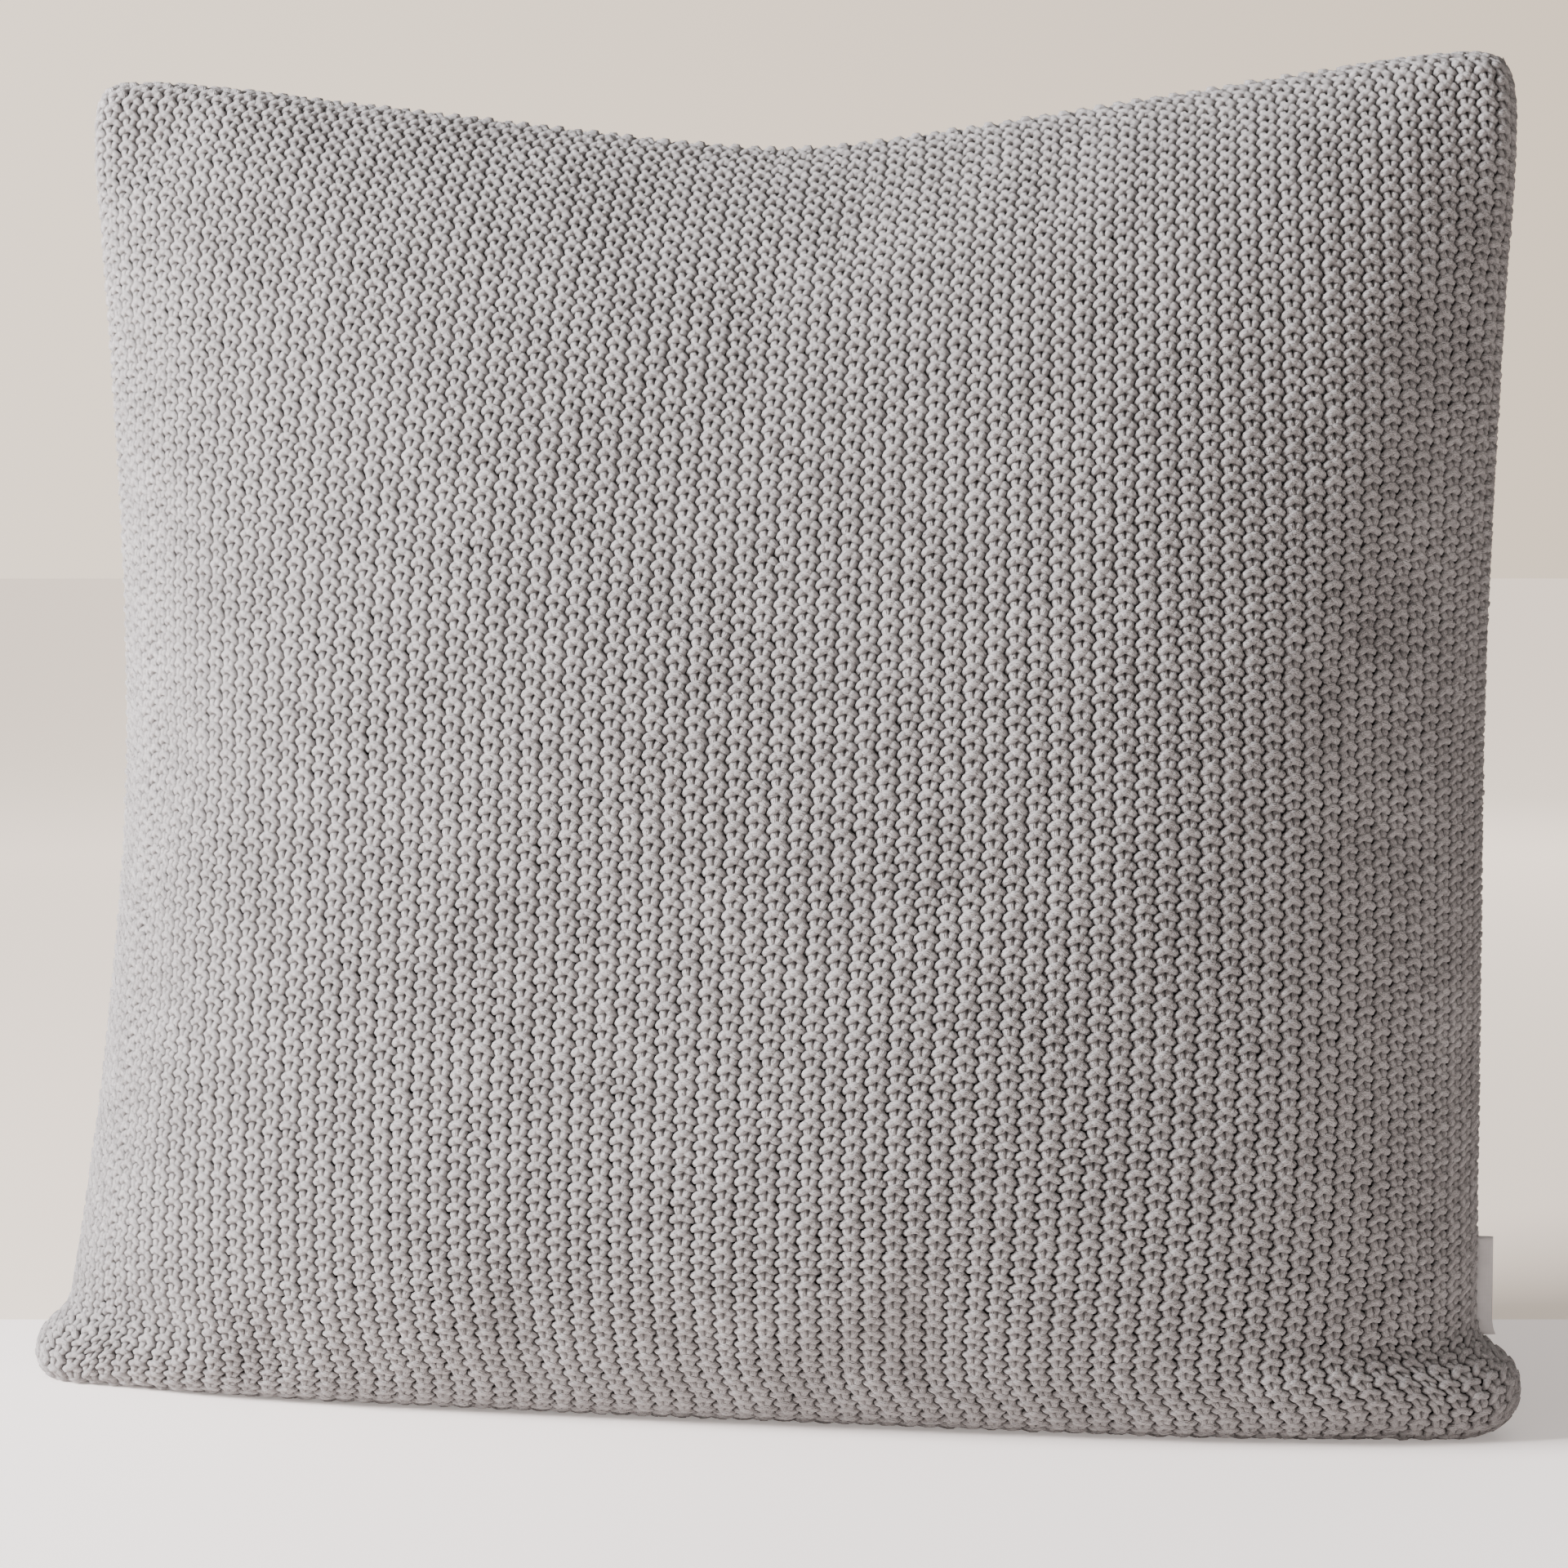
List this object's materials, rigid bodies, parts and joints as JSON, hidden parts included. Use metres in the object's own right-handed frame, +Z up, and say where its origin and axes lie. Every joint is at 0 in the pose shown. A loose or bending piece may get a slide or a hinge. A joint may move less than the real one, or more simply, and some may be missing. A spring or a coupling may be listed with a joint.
{
  "type": "throw pillow",
  "caption": "Square throw pillow with a seed-stitch knitted cover that zips shut round a fibre-filled insert; stands on its bottom edge.",
  "frame": {"origin": "middle of the box of the whole pillow, on the surface it stands on", "axes": "+Z up, +X to the pillow's right as seen from the front, -Y out of the front face"},
  "size_m": [0.44, 0.1638, 0.39],
  "materials": {
    "knit": "matt seed-stitch cotton knit",
    "seam_yarn": "matt cotton yarn",
    "insert_cotton": "matt plain-weave cotton",
    "insert_thread": "matt sewing thread",
    "fibre_fill": "matt polyester fibre",
    "zipper_tape": "matt woven tape",
    "zipper_teeth": "satin polyester",
    "zipper_metal": "satin nickel",
    "sewing_thread": "satin thread",
    "label_satin": "satin-woven label",
    "care_label_satin": "satin-woven label"
  },
  "bodies": {
    "cover": {"front_panel": "knit", "back_panel": "knit", "top_seam": "seam_yarn", "left_seam": "seam_yarn", "right_seam": "seam_yarn", "bottom_seam_left": "seam_yarn", "bottom_seam_right": "seam_yarn", "insert_front_panel": "insert_cotton", "insert_back_panel": "insert_cotton", "insert_side_seam": "insert_thread", "insert_closing_seam": "insert_thread", "insert_fill": "fibre_fill", "zipper_tape_front": "zipper_tape", "zipper_tape_back": "zipper_tape", "zipper_teeth_front": "zipper_teeth", "zipper_teeth_back": "zipper_teeth", "zipper_top_stops": "zipper_metal", "zipper_bottom_stop": "zipper_metal", "zipper_thread_front": "sewing_thread", "zipper_thread_back": "sewing_thread", "side_label": "label_satin", "care_label": "care_label_satin"},
    "slider": {"zipper_slider": "zipper_metal"},
    "pull": {"zipper_pull": "zipper_metal"}
  },
  "joints": [
    {"name": "zipper_slide", "type": "slide", "parent": "cover", "child": "slider", "axis": [-1, 0, 0], "range_m": [0, 0.336], "deforming": ["zipper_teeth_front", "zipper_teeth_back"]},
    {"name": "pull_hinge", "type": "hinge", "parent": "slider", "child": "pull", "pos_m": [0.168, -0.0157, 0.00135], "axis": [0, -1, 0], "range_deg": [0, 150]}
  ]
}
